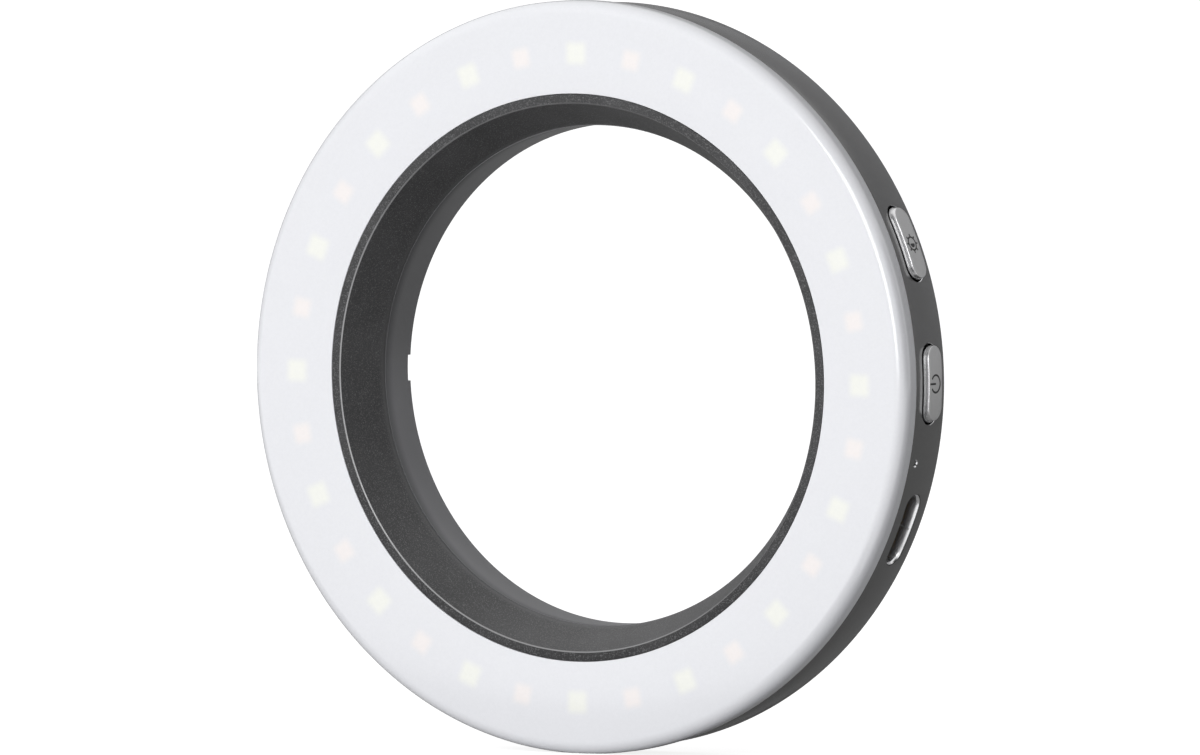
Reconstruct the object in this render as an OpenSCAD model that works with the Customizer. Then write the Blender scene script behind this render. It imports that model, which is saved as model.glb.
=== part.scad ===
// Ring video light, 58 mm bore, in millimetres.
// The ring stands upright: its axis lies along Y, the light shines towards -Y and +Z is up.
// The origin is on the ring's axis, in the plane of the flat back face.
// Each piece is drawn lying down, with z growing from the back face to the front,
// and is then stood up. Angles are clock angles in degrees: 0 is the top, and they
// grow clockwise for someone who looks at the front.

/* [Bore and collar] */
// Diameter of the bore that slips over a lens barrel
bore_d = 58; // [54:0.5:70]
// Wall of the mount collar
collar_wall = 1.6; // [1.2:0.1:2.4]
// How far the collar stands out of the back face
collar_proud = 1.5; // [1:0.1:4]
// Thickness of the flange by which the collar is clamped
flange_t = 1; // [0.8:0.1:1.4]
// Width of that flange outside the collar
flange_w = 1.1; // [0.8:0.05:1.3]
// Width of the index notch in the collar's rear edge
notch_w = 3; // [1.5:0.1:5]
// Depth of the index notch
notch_depth = 0.65; // [0.3:0.05:0.9]
// Clock angle of the index notch
notch_angle = 270; // [0:5:355]

/* [Inner bezel] */
// Length of the plain bore in front of the back face, up to the bezel's cone
bore_front = 4.33; // [3.6:0.05:5]
// Step from the bore out to the rear edge of the cone
cone_step = 0.08; // [0.02:0.02:0.2]
// How much the cone's radius grows towards the front
cone_flare = 2.8; // [2:0.05:3.4]
// Width of the bezel's flat front lip
lip_w = 0.94; // [0.7:0.02:1.6]
// Wall of the bezel's sleeve round the collar
sleeve_wall = 1.05; // [0.8:0.05:1.4]
// Width of the shelf that carries the diffuser's inner edge
shelf_w = 0.78; // [0.4:0.02:1.2]
// Thickness of that shelf
shelf_t = 0.36; // [0.2:0.02:0.5]

/* [Housing] */
// Radial room between the bezel's sleeve and the side wall
chamber_w = 10.2; // [10:0.1:12]
// Height of the room between the back cover and the LED carrier
chamber_h = 4.7; // [4.7:0.1:8]
// Thickness of the side wall
side_wall = 1.2; // [1:0.05:1.8]
// Chamfer on the side wall's rear corner
edge_chamfer = 0.12; // [0.05:0.01:0.3]
// Thickness of the back cover
cover_t = 1; // [0.9:0.1:1.6]
// Width of the ledge that carries the LED carrier
ledge_w = 1.35; // [1:0.05:1.5]
// Thickness of that ledge
ledge_t = 0.8; // [0.5:0.05:0.8]
// Distance from the side wall's inner face to the flat land behind the buttons
land_inset = 2.35; // [2.3:0.05:2.6]
// Diameter of the screw bosses
boss_d = 2.8; // [2.6:0.1:3.2]
// Distance from the side wall's inner face to the boss centres
boss_inset = 2.95; // [2.5:0.05:3.2]
// Number of cover screws
cover_screw_count = 6; // [3, 6]

/* [Diffuser and light engine] */
// Thickness of the diffuser's front plate
diffuser_t = 1.5; // [1.2:0.1:2.4]
// Height of the white rim seen from the side
rim_h = 2.68; // [2.6:0.02:3.2]
// How far the rim stands out of the side wall
rim_step = 0.47; // [0.1:0.01:0.8]
// Radius of the rim's front fillet
rim_fillet = 1.5; // [0.6:0.1:2]
// Wall of the spigot that holds the diffuser in the housing
spigot_t = 0.85; // [0.6:0.05:1]
// Thickness of the foam gasket under the spigot
gasket_t = 0.3; // [0.2:0.05:0.5]
// Number of LEDs, half of them cool and half warm
led_count = 32; // [16:4:36]
// Distance from the bezel's sleeve to the circle of LEDs
led_inset = 5.85; // [5.2:0.05:6.4]
// Side of a cool white LED
cool_led_w = 2.3; // [1.6:0.1:2.8]
// Side of a warm white LED
warm_led_w = 2; // [1.6:0.1:2.8]
// Height of an LED
led_h = 0.7; // [0.5:0.05:1]
// Room between the LEDs and the diffuser
led_gap = 0.56; // [0.4:0.02:2]
// Thickness of the LED board
led_board_t = 0.8; // [0.6:0.1:1.2]
// Thickness of the metal carrier behind the LED board
carrier_t = 0.8; // [0.6:0.1:1.2]
// Thickness of the white reflector sheet
reflector_t = 0.2; // [0.1:0.05:0.3]

/* [Buttons] */
// Clock angle along which both buttons are pressed inwards
press_angle = 79; // [70:0.5:82]
// Distance between the two button centres
button_pitch = 16.4; // [15.4:0.1:16.8]
// Length of a button face
button_l = 8.65; // [6:0.05:8.7]
// Width of a button face
button_w = 3.15; // [2.4:0.01:3.2]
// How far a button stands out of the side wall
button_proud = 0.68; // [0.5:0.01:1.2]
// Clearance round a button in its pocket
button_gap = 0.3; // [0.1:0.005:0.3]
// How far a button moves when it is pressed
button_travel = 0.3; // [0.15:0.05:0.4]
// Length of the ear at each end of a button
ear_l = 0.775; // [0.5:0.005:0.9]
// Thickness of the ears
ear_t = 0.5; // [0.3:0.05:0.6]

/* [Switches] */
// Length of a switch body along the board's edge
switch_l = 4.4; // [3:0.1:5]
// Depth of a switch body
switch_d = 2; // [1.6:0.1:2.4]
// Height of a switch body
switch_h = 1.4; // [1.2:0.05:1.6]
// Diameter of a switch plunger
plunger_d = 1; // [0.7:0.05:1.1]
// How far a plunger stands out of its switch
plunger_proud = 0.6; // [0.5:0.05:0.8]
// Length of a plunger
plunger_l = 1.4; // [1.2:0.05:1.5]

/* [Port and indicator] */
// Clock angle of the charging port
port_angle = 113.2; // [112:0.1:115]
// Length of the port's metal shell across its mouth
port_l = 8.94; // [8.5:0.02:9.2]
// Width of the port's metal shell across its mouth
port_w = 3.16; // [3:0.02:3.2]
// Wall of the port's shell
port_wall = 0.3; // [0.2:0.02:0.34]
// Depth of the port's shell
port_depth = 7.3; // [6.5:0.05:7.4]
// How far the port's mouth lies inside the side wall's surface
port_recess = 0.3; // [0.2:0.02:0.6]
// Height of the port's middle above the middle of its board
port_rise = 1.1; // [0.8:0.05:1.1]
// Length and width of the contact tongue's section
tongue_l = 6.69; // [5.5:0.01:6.8]
// Thickness of the contact tongue
tongue_t = 0.7; // [0.5:0.01:0.8]
// How far the tongue's tip lies behind the mouth
tongue_recess = 0.9; // [0.5:0.05:1.4]
// Number of contacts on each face of the tongue
contact_count = 12; // [6:1:12]
// Clock angle of the indicator
indicator_angle = 102.2; // [101.5:0.1:103]
// Diameter of the indicator's hole
indicator_d = 0.95; // [0.7:0.05:1]
// Height of the indicator above the control board
indicator_rise = 2.6; // [2.2:0.05:2.6]

/* [Boards and battery] */
// Thickness of the control board
control_board_t = 0.8; // [0.6:0.05:0.9]
// Gap between the back cover and the control board
control_board_lift = 0.75; // [0.45:0.05:0.8]
// Diameter of the posts that carry the control board
post_d = 2.4; // [2:0.1:2.4]
// Number of battery cells
cell_count = 4; // [1:1:4]
// Length of a battery cell
cell_l = 23; // [12:0.5:24]
// Width of a battery cell
cell_w = 6.3; // [4:0.1:6.5]
// Thickness of the tape under a cell
tape_t = 0.1; // [0.1:0.05:0.3]
// Thickness of the flexible strip that joins the cells
flex_t = 0.2; // [0.1:0.05:0.3]
// Width of that strip
flex_w = 2; // [1.2:0.1:2.2]

/* [Screws] */
// Diameter of the cover screws
cover_screw_d = 1.6; // [1.2:0.1:1.8]
// Length of a cover screw below its head
cover_screw_l = 4; // [2.5:0.1:4]
// Diameter of a cover screw's head
cover_head_d = 2.6; // [2.2:0.1:2.8]
// Height of a cover screw's head
cover_head_h = 0.5; // [0.3:0.05:0.6]
// Diameter of the board screws
board_screw_d = 1.2; // [1:0.1:1.4]
// Diameter of a board screw's head
board_head_d = 2.2; // [1.8:0.1:2.2]
// Height of a board screw's head
board_head_h = 0.42; // [0.3:0.02:0.44]

/* [Clearances] */
// Clearance between round pieces that fit in each other
fit_gap = 0.1; // [0.05:0.01:0.15]
// Clearance between the diffuser and the bezel's lip
lip_gap = 0.05; // [0.02:0.01:0.1]
// Clearance round the port's shell and the light pipe
port_gap = 0.05; // [0.03:0.01:0.1]
// Gap at rest between a button's ears and the land
stop_gap = 0.05; // [0.02:0.01:0.1]
// Side clearance of boards, cells and small parts
room_gap = 0.45; // [0.3:0.05:0.5]

/* [Hidden] */
$fn = 96;

// Radii, from the bore outwards
bore_r = bore_d / 2;
collar_r = bore_r + collar_wall;
sleeve_in_r = collar_r + fit_gap;
sleeve_r = sleeve_in_r + sleeve_wall;
cone_rear_r = bore_r + cone_step;
cone_front_r = cone_rear_r + cone_flare;
lip_r = cone_front_r + lip_w;
wall_in_r = sleeve_r + chamber_w;
body_r = wall_in_r + side_wall;
rim_r = body_r + rim_step;
spigot_r = wall_in_r - fit_gap;
spigot_in_r = spigot_r - spigot_t;
ledge_r = wall_in_r - ledge_w;
led_r = sleeve_r + led_inset;
boss_r = wall_in_r - boss_inset;

// Heights, from the back face to the front
carrier_z = cover_t + chamber_h;
led_board_z = carrier_z + carrier_t;
led_z = led_board_z + led_board_t;
diffuser_z = led_z + led_h + led_gap;
front_z = diffuser_z + diffuser_t;
rim_z = front_z - rim_h;
flange_z = cover_t + flange_t;
cell_z = cover_t + tape_t;
cell_t = chamber_h - tape_t - flex_t;
boss_top_z = carrier_z - fit_gap;
land_top_z = carrier_z - ledge_t / 2;
control_z = cover_t + control_board_lift;
control_top_z = control_z + control_board_t;
button_z = control_top_z + switch_h / 2;
port_z = control_z + control_board_t / 2 + port_rise;
indicator_z = control_top_z + indicator_rise;

// Distances along the press direction, measured from the ring's axis
land_y = wall_in_r - land_inset;
ear_y = land_y - stop_gap - ear_t;
stem_l = 0.45;
stem_d = 1.3;
plunger_tip_y = ear_y - stem_l;
switch_front_y = plunger_tip_y - plunger_proud;
face_r = body_r + button_proud;
pocket_l = button_l + 2 * button_gap;
pocket_w = button_w + 2 * button_gap;

// Control board, with the angles that it reaches before the buttons and after the port
board_before = 21;
board_after = 20.8;
board_inset = 0.65;
control_start = press_angle - board_before;
control_end = port_angle + board_after;
control_in_r = sleeve_r + board_inset;
control_out_r = wall_in_r - room_gap;

// LED board, its carrier and its sheet, with their distances from the sleeve and the spigot
carrier_inset = 0.25;
led_board_inset = 0.75;
led_board_margin = 0.3;
reflector_inset = 0.5;
led_screw_inset = 2.55;
led_board_in_r = sleeve_r + led_board_inset;
led_board_out_r = spigot_in_r - led_board_margin;
led_screw_r = sleeve_r + led_screw_inset;

// Posts of the control board, their angles before the buttons and after the port, and screws
post_inset = 2;
post_before = 15;
post_after = 17.8;
post_grip = 2.3;
screw_room = 0.3;
post_r = sleeve_r + post_inset;
post_angles = [press_angle - post_before, port_angle, port_angle + post_after];
post_screw_l = control_board_t + post_grip;
post_thread_z = control_z + post_screw_l + screw_room;
screw_step = 360 / cover_screw_count;

// Charging port and light pipe
port_mouth_y = body_r - port_recess;
port_rear_y = port_mouth_y - port_depth;
insulator_l = 1.5;
contact_w = 0.26;
contact_h = 0.03;
contact_l = 3.6;
seam_w = 0.08;
leg_l = 1.1;
leg_w = 0.7;
leg_t = 0.3;
leg_places = [0.3, 3.9];
indicator_led_h = 0.6;
indicator_led_size = [1.6, 0.8];
pipe_block = 0.9;
pipe_recess = 0.4;

// Battery cells and their strip, which starts after the port and ends past the last cell
cell_pitch = 60;
cells_after = 90;
flex_inset = 3.45;
flex_after = 16.2;
flex_past = 14;
connector_l = 2.6;
connector_w = 2.2;
connector_after = 18;
first_cell = press_angle + cells_after;
last_cell = first_cell + (cell_count - 1) * cell_pitch;
flex_r = sleeve_r + flex_inset;
flex_start = port_angle + flex_after;
flex_end = last_cell + flex_past;
connector_angle = port_angle + connector_after;

// Link between the two boards
link_after = 11.3;
link_inset = 6.85;
link_l = 4.6;
link_w = 2.4;
link_shrink = 0.4;
link_split = 2.1;
link_angle = port_angle + link_after;
link_r = sleeve_r + link_inset;
link_split_z = control_top_z + link_split;

// Chips, as [clock angle, distance from the sleeve, length, width, height]
controller = [press_angle, 3.15, 3.2, 3.2, 0.75];
charger = [press_angle + 8, 3.05, 2.4, 2.4, 0.75];
driver = [press_angle - 8, 3.05, 2.4, 2.4, 0.75];
inductors = [[press_angle + 15, 2.85, 2.5, 2.5, 1.5], [port_angle + 10.3, 2.85, 2.5, 2.5, 1.5]];
capacitor_size = [1, 0.5, 0.5];
capacitor_places = [
    [press_angle - 4, 5.05], [press_angle + 4, 5.05], [press_angle + 18, 5.05],
    [press_angle + 18, 6.85], [port_angle - 9.7, 5.25], [port_angle + 14.3, 2.45]
];

// Stands a piece up: z becomes the forward direction, -Y
module stand() {
    rotate([90, 0, 0]) children();
}

// Turns a piece to a clock angle and moves it outwards: its y axis points outwards there
module clock(angle, r = 0) {
    rotate(-angle) translate([0, r, 0]) children();
}

// Flat ring between two radii and two heights
module band(r_in, r_out, z_low, z_high) {
    rotate_extrude() translate([r_in, z_low]) square([r_out - r_in, z_high - z_low]);
}

// Outline with two round ends, centred, its length along x
module stadium(l, w) {
    square([l - w, w], center = true);
    translate([(l - w) / 2, 0]) circle(d = w);
    translate([(w - l) / 2, 0]) circle(d = w);
}

// Stadium bar that runs outwards along y, from y_low to y_high, at height z
module stadium_bar(l, w, z, y_low, y_high) {
    translate([0, y_low, z]) rotate([-90, 0, 0]) linear_extrude(y_high - y_low) stadium(l, w);
}

// Round bar that runs outwards along y
module round_bar(d, z, y_low, y_high) {
    translate([0, y_low, z]) rotate([-90, 0, 0]) cylinder(d = d, h = y_high - y_low);
}

// Block that is centred in x, with its own ranges in y and z
module block(l, y_low, y_high, z_low, z_high) {
    translate([-l / 2, y_low, z_low]) cube([l, y_high - y_low, z_high - z_low]);
}

// Sector of a flat ring, from one clock angle to another
module sector(r_in, r_out, start, end) {
    steps = 24;
    reach = 2 * r_out;
    intersection() {
        difference() {
            circle(r = r_out);
            circle(r = r_in);
        }
        polygon(concat([[0, 0]], [for (i = [0:steps])
            let (a = start + (end - start) * i / steps) reach * [sin(a), cos(a)]]));
    }
}

// Rounded rectangle, centred
module rounded(l, w, r) {
    square([l - 2 * r, w], center = true);
    square([l, w - 2 * r], center = true);
    for (x = [-1, 1], y = [-1, 1]) {
        translate([x * (l / 2 - r), y * (w / 2 - r)]) circle(r = r);
    }
}

// Screw with its head towards -z and its shank up from z = 0, with a cross recess
module screw(d, l, head_d, head_h) {
    recess_share = 0.6;
    slot_share = 0.14;
    slot = [head_d * recess_share, head_d * slot_share, 2 * head_h * recess_share];
    difference() {
        translate([0, 0, -head_h]) cylinder(d = head_d, h = head_h);
        for (turn = [0, 90]) {
            rotate(turn) translate([0, 0, -head_h]) cube(slot, center = true);
        }
    }
    cylinder(d = d, h = l);
}

// Repeats a piece at each cover screw
module each_cover_screw() {
    for (i = [0:cover_screw_count - 1]) clock(press_angle + i * screw_step, boss_r) children();
}

// Repeats a piece at each screw of the LED board, midway between the cover screws
module each_led_screw() {
    for (i = [0:cover_screw_count - 1]) {
        clock(press_angle + (i + 0.5) * screw_step, led_screw_r) children();
    }
}

// Repeats a piece at every second LED, starting at the given one
module each_led(first) {
    for (i = [first:2:led_count - 1]) clock(i * 360 / led_count, led_r) children();
}

// Places a piece at one of the two buttons: side is -1 for brightness and 1 for power
module at_button(side) {
    clock(press_angle) translate([side * button_pitch / 2, 0, 0]) children();
}

// White front ring with its rounded rim and the spigot that goes into the housing
module diffuser() {
    inner_r = lip_r + lip_gap;
    color("white") stand() rotate_extrude() {
        translate([inner_r, diffuser_z]) square([rim_r - rim_fillet - inner_r, diffuser_t]);
        translate([spigot_in_r, rim_z]) {
            square([rim_r - rim_fillet - spigot_in_r, rim_h]);
            square([rim_r - spigot_in_r, rim_h - rim_fillet]);
        }
        translate([rim_r - rim_fillet, front_z - rim_fillet]) intersection() {
            circle(r = rim_fillet);
            square(rim_fillet);
        }
        translate([spigot_in_r, led_board_z + gasket_t]) {
            square([spigot_t, diffuser_z - led_board_z - gasket_t]);
        }
    }
}

// Dark inner cone with its flat lip, and the sleeve that goes round the collar
module inner_bezel() {
    lip_chamfer = 0.12;
    color("dimgray") stand() rotate_extrude() polygon([
        [cone_rear_r, bore_front],
        [cone_front_r - lip_chamfer * cone_flare / (front_z - bore_front), front_z - lip_chamfer],
        [cone_front_r + lip_chamfer, front_z],
        [lip_r, front_z],
        [lip_r, diffuser_z],
        [lip_r + shelf_w, diffuser_z],
        [lip_r + shelf_w, diffuser_z - shelf_t],
        [sleeve_r, diffuser_z - shelf_t],
        [sleeve_r, flange_z],
        [sleeve_in_r, flange_z],
        [sleeve_in_r, bore_front]
    ]);
}

// Boss for one cover screw, with the web that ties it to the side wall
module boss() {
    translate([0, 0, cover_t]) cylinder(d = boss_d, h = boss_top_z - cover_t);
    block(boss_d, 0, boss_inset + side_wall / 2, cover_t, boss_top_z);
}

// Side wall of the body, with its ledge, bosses, button pockets, port and indicator hole
module housing() {
    thread_end = cover_t - cover_head_h - fit_gap + cover_screw_l + screw_room;
    color("gray") stand() difference() {
        union() {
            rotate_extrude() polygon([
                [wall_in_r, 0],
                [body_r - edge_chamfer, 0],
                [body_r, edge_chamfer],
                [body_r, rim_z],
                [wall_in_r, rim_z]
            ]);
            band(ledge_r, wall_in_r + side_wall / 2, carrier_z - ledge_t, carrier_z);
            translate([0, 0, cover_t]) linear_extrude(land_top_z - cover_t) intersection() {
                circle(r = wall_in_r + side_wall / 2);
                clock(press_angle, land_y + land_inset) {
                    square([2 * body_r, 2 * land_inset], center = true);
                }
            }
            each_cover_screw() boss();
        }
        for (side = [-1, 1]) {
            at_button(side) stadium_bar(pocket_l, pocket_w, button_z, ear_y, rim_r);
        }
        clock(port_angle) {
            stadium_bar(port_l + 2 * port_gap, port_w + 2 * port_gap, port_z, boss_r, rim_r);
        }
        clock(indicator_angle) round_bar(indicator_d, indicator_z, boss_r, rim_r);
        each_cover_screw() cylinder(d = cover_screw_d + fit_gap, h = thread_end);
    }
}

// Collar with the bore that takes the lens, its clamped flange and its index notch
module mount_collar() {
    color("darkgray") stand() difference() {
        union() {
            band(bore_r, collar_r, -collar_proud, bore_front);
            band((bore_r + collar_r) / 2, collar_r + flange_w, cover_t, flange_z);
        }
        clock(notch_angle) {
            block(notch_w, 0, 2 * bore_r, -2 * collar_proud, notch_depth - collar_proud);
        }
    }
}

// Flat back ring that closes the housing
module back_cover() {
    color("slategray") stand() difference() {
        band(collar_r + fit_gap, wall_in_r - fit_gap, 0, cover_t);
        each_cover_screw() {
            translate([0, 0, -cover_t]) {
                cylinder(d = cover_screw_d + fit_gap, h = 3 * cover_t);
                cylinder(d = cover_head_d + 2 * fit_gap, h = cover_t + cover_head_h + fit_gap);
            }
        }
    }
}

// Screws that hold the back cover to the bosses
module cover_screws() {
    color("black") stand() each_cover_screw() {
        translate([0, 0, cover_head_h + fit_gap]) {
            screw(cover_screw_d, cover_screw_l, cover_head_d, cover_head_h);
        }
    }
}

// Foam ring between the carrier and the diffuser's spigot
module diffuser_gasket() {
    color("darkslategray") stand() {
        band(spigot_in_r, spigot_r, led_board_z, led_board_z + gasket_t);
    }
}

// Metal ring behind the LED board, with the posts that carry the control board
module led_carrier() {
    post_h = carrier_z + carrier_t / 2 - control_top_z;
    color("silver") stand() difference() {
        union() {
            band(sleeve_r + carrier_inset, spigot_r, carrier_z, led_board_z);
            for (a = post_angles) clock(a, post_r) {
                translate([0, 0, control_top_z]) cylinder(d = post_d, h = post_h);
            }
        }
        for (a = post_angles) clock(a, post_r) {
            cylinder(d = board_screw_d + fit_gap, h = post_thread_z);
        }
        each_led_screw() cylinder(d = board_screw_d + fit_gap, h = front_z);
        clock(link_angle, link_r) {
            cube([link_l + room_gap, link_w + room_gap, 3 * front_z], center = true);
        }
    }
}

// Printed board that carries the LEDs
module led_board() {
    color("whitesmoke") stand() difference() {
        band(led_board_in_r, led_board_out_r, led_board_z, led_z);
        each_led_screw() cylinder(d = board_screw_d + fit_gap, h = front_z);
    }
}

// Screws that hold the LED board to its carrier
module led_board_screws() {
    color("black") stand() each_led_screw() {
        translate([0, 0, led_z]) mirror([0, 0, 1]) {
            screw(board_screw_d, led_board_t + carrier_t, board_head_d, board_head_h);
        }
    }
}

// White sheet with a window for each LED and each screw
module reflector_sheet() {
    window_gap = 0.4;
    color("white") stand() difference() {
        band(led_board_in_r + reflector_inset, led_board_out_r - led_board_margin,
            led_z, led_z + reflector_t);
        each_led(0) {
            cube([cool_led_w + window_gap, cool_led_w + window_gap, 3 * front_z], center = true);
        }
        each_led(1) {
            cube([warm_led_w + window_gap, warm_led_w + window_gap, 3 * front_z], center = true);
        }
        each_led_screw() cylinder(d = board_head_d + window_gap, h = front_z);
    }
}

// One LED package with the shallow well of its phosphor
module led(w) {
    well = 0.12;
    well_share = 0.8;
    translate([0, 0, led_z]) difference() {
        translate([0, 0, led_h / 2]) cube([w, w, led_h], center = true);
        translate([0, 0, led_h]) cube([w * well_share, w * well_share, 2 * well], center = true);
    }
}

// Cool white LEDs, at the even places
module cool_leds() {
    color("lightyellow") stand() each_led(0) led(cool_led_w);
}

// Warm white LEDs, at the odd places
module warm_leds() {
    color("bisque") stand() each_led(1) led(warm_led_w);
}

// Places a piece at each battery cell, with y = 0 on the cell's inner side
module each_cell() {
    for (i = [0:cell_count - 1]) {
        clock(first_cell + i * cell_pitch, sleeve_r + room_gap) children();
    }
}

// Flat lithium cells, one between each two bosses
module battery_cells() {
    corner = 0.8;
    color("lightsteelblue") stand() each_cell() {
        translate([0, cell_w / 2, cell_z]) linear_extrude(cell_t) rounded(cell_l, cell_w, corner);
    }
}

// Tape that holds the cells to the back cover
module cell_tape() {
    l = cell_l * 0.7;
    margin = cell_w * 0.2;
    color("dimgray") stand() each_cell() block(l, margin, cell_w - margin, cover_t, cell_z);
}

// Flexible strip over the cells, from the last one to the control board
module battery_flex() {
    color("orange") stand() translate([0, 0, carrier_z - flex_t]) linear_extrude(flex_t) {
        sector(flex_r, flex_r + flex_w, flex_start, flex_end);
    }
}

// Block on the control board where the strip ends
module battery_connector() {
    color("ivory") stand() clock(connector_angle, flex_r + flex_w / 2) {
        block(connector_l, -connector_w / 2, connector_w / 2, control_top_z, carrier_z - flex_t);
    }
}

// Printed board with the port, the switches and the driver circuit
module control_board() {
    notch_room = 0.2;
    color("darkgreen") stand() translate([0, 0, control_z]) linear_extrude(control_board_t) {
        difference() {
            sector(control_in_r, control_out_r, control_start, control_end);
            clock(press_angle, switch_front_y) {
                translate([-body_r / 2, 0]) square([body_r, body_r]);
            }
            clock(press_angle, boss_r) circle(d = boss_d + 2 * notch_room);
            clock(port_angle, port_rear_y - port_gap) {
                translate([-port_l / 2 - port_gap, 0]) square([port_l + 2 * port_gap, body_r]);
            }
            for (a = post_angles) clock(a, post_r) circle(d = board_screw_d + fit_gap);
        }
    }
}

// Screws that hold the control board to the carrier's posts
module control_board_screws() {
    color("black") stand() for (a = post_angles) clock(a, post_r) {
        translate([0, 0, control_z]) {
            screw(board_screw_d, post_screw_l, board_head_d, board_head_h);
        }
    }
}

// One chip on the control board: place is [angle, distance, length, width, height]
module chip(place) {
    clock(place[0], sleeve_r + place[1]) {
        block(place[2], -place[3] / 2, place[3] / 2, control_top_z, control_top_z + place[4]);
    }
}

module controller_chip() {
    color("black") stand() chip(controller);
}

module charger_chip() {
    color("black") stand() chip(charger);
}

module driver_chip() {
    color("black") stand() chip(driver);
}

// Coils of the charger and the LED driver
module power_inductors() {
    color("dimgray") stand() for (place = inductors) chip(place);
}

module chip_capacitors() {
    color("tan") stand() for (place = capacitor_places) chip(concat(place, capacitor_size));
}

// Lower half of the plug connection between the two boards
module link_socket() {
    color("black") stand() clock(link_angle, link_r) {
        block(link_l, -link_w / 2, link_w / 2, control_top_z, link_split_z);
    }
}

// Upper half of that connection, under the LED board
module link_plug() {
    w = link_w - link_shrink;
    color("ivory") stand() clock(link_angle, link_r) {
        block(link_l - link_shrink, -w / 2, w / 2, link_split_z, led_board_z);
    }
}

// One button: curved cap, two end ears behind the land and a stem to the switch
module button(side) {
    stand() at_button(side) {
        intersection() {
            stadium_bar(button_l, button_w, button_z, ear_y, face_r);
            translate([-side * button_pitch / 2, 0, 0]) cylinder(r = face_r, h = front_z);
        }
        block(button_l + 2 * ear_l, ear_y, ear_y + ear_t,
            button_z - button_w / 2, button_z + button_w / 2);
        round_bar(stem_d, button_z, plunger_tip_y, ear_y + ear_t);
    }
}

module brightness_button() {
    color("darkgray") button(-1);
}

module power_button() {
    color("darkgray") button(1);
}

// Plunger of one switch, which the button's stem pushes in
module plunger(side) {
    stand() at_button(side) {
        round_bar(plunger_d, button_z, plunger_tip_y - plunger_l, plunger_tip_y);
    }
}

module brightness_plunger() {
    color("ivory") plunger(-1);
}

module power_plunger() {
    color("ivory") plunger(1);
}

// Body of one side-pressed switch, flush with the board's straight edge
module switch_body(side) {
    stand() at_button(side) difference() {
        block(switch_l, switch_front_y - switch_d, switch_front_y,
            control_top_z, control_top_z + switch_h);
        round_bar(plunger_d + fit_gap, button_z,
            plunger_tip_y - plunger_l - button_travel - fit_gap, land_y);
    }
}

module brightness_switch() {
    color("silver") switch_body(-1);
}

module power_switch() {
    color("silver") switch_body(1);
}

// Metal shell of the charging port, with its seam and its four legs on the board
module port_shell() {
    leg_x = port_l / 2 + leg_w / 2 - port_wall / 2;
    color("gainsboro") stand() clock(port_angle) difference() {
        union() {
            stadium_bar(port_l, port_w, port_z, port_rear_y, port_mouth_y);
            for (x = [-leg_x, leg_x], y = leg_places) {
                translate([x, port_rear_y + y, 0]) {
                    block(leg_w + port_wall, 0, leg_l, control_top_z, control_top_z + leg_t);
                }
            }
        }
        stadium_bar(port_l - 2 * port_wall, port_w - 2 * port_wall, port_z,
            port_rear_y - side_wall, body_r);
        block(seam_w, port_rear_y - side_wall, body_r, 0, port_z);
    }
}

// Insulator that closes the shell's rear and carries the contact tongue
module port_tongue() {
    l = port_l - 2 * port_wall - port_gap;
    w = port_w - 2 * port_wall - port_gap;
    color("black") stand() clock(port_angle) {
        stadium_bar(l, w, port_z, port_rear_y, port_rear_y + insulator_l);
        block(tongue_l, port_rear_y, port_mouth_y - tongue_recess,
            port_z - tongue_t / 2, port_z + tongue_t / 2);
    }
}

// Contacts on both faces of the tongue
module port_contacts() {
    edge = 0.55;
    tip = 0.4;
    span = tongue_l - 2 * edge;
    tip_y = port_mouth_y - tongue_recess - tip;
    color("gold") stand() clock(port_angle) {
        for (i = [0:contact_count - 1], face = [-1, 1]) {
            x = -span / 2 + span * i / (contact_count - 1);
            z = port_z + face * (tongue_t + contact_h) / 2;
            translate([x, 0, 0]) {
                block(contact_w, tip_y - contact_l, tip_y, z - contact_h / 2, z + contact_h / 2);
            }
        }
    }
}

// Small lamp of the indicator, on the control board
module indicator_led() {
    color("palegreen") stand() clock(indicator_angle) {
        translate([0, ledge_r - fit_gap - pipe_block / 2, 0]) {
            block(indicator_led_size[0], -indicator_led_size[1] / 2, indicator_led_size[1] / 2,
                control_top_z, control_top_z + indicator_led_h);
        }
    }
}

// Clear piece that leads the lamp's light to the hole in the side wall
module light_pipe() {
    pin_d = indicator_d - 2 * port_gap;
    pipe_y = ledge_r - fit_gap;
    color("white", 0.6) stand() clock(indicator_angle) {
        block(indicator_led_size[0], pipe_y - pipe_block, pipe_y,
            control_top_z + indicator_led_h, indicator_z + pin_d / 2);
        round_bar(pin_d, indicator_z, pipe_y - pipe_block, body_r - pipe_recess);
    }
}

diffuser();
inner_bezel();
housing();
mount_collar();
back_cover();
cover_screws();
diffuser_gasket();
led_carrier();
led_board();
led_board_screws();
reflector_sheet();
cool_leds();
warm_leds();
battery_cells();
cell_tape();
battery_flex();
battery_connector();
control_board();
control_board_screws();
controller_chip();
charger_chip();
driver_chip();
power_inductors();
chip_capacitors();
link_socket();
link_plug();
brightness_button();
power_button();
brightness_plunger();
power_plunger();
brightness_switch();
power_switch();
port_shell();
port_tongue();
port_contacts();
indicator_led();
light_pipe();
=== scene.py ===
import math

import bmesh
import bpy
import numpy as np
from mathutils import Matrix, Vector


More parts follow.
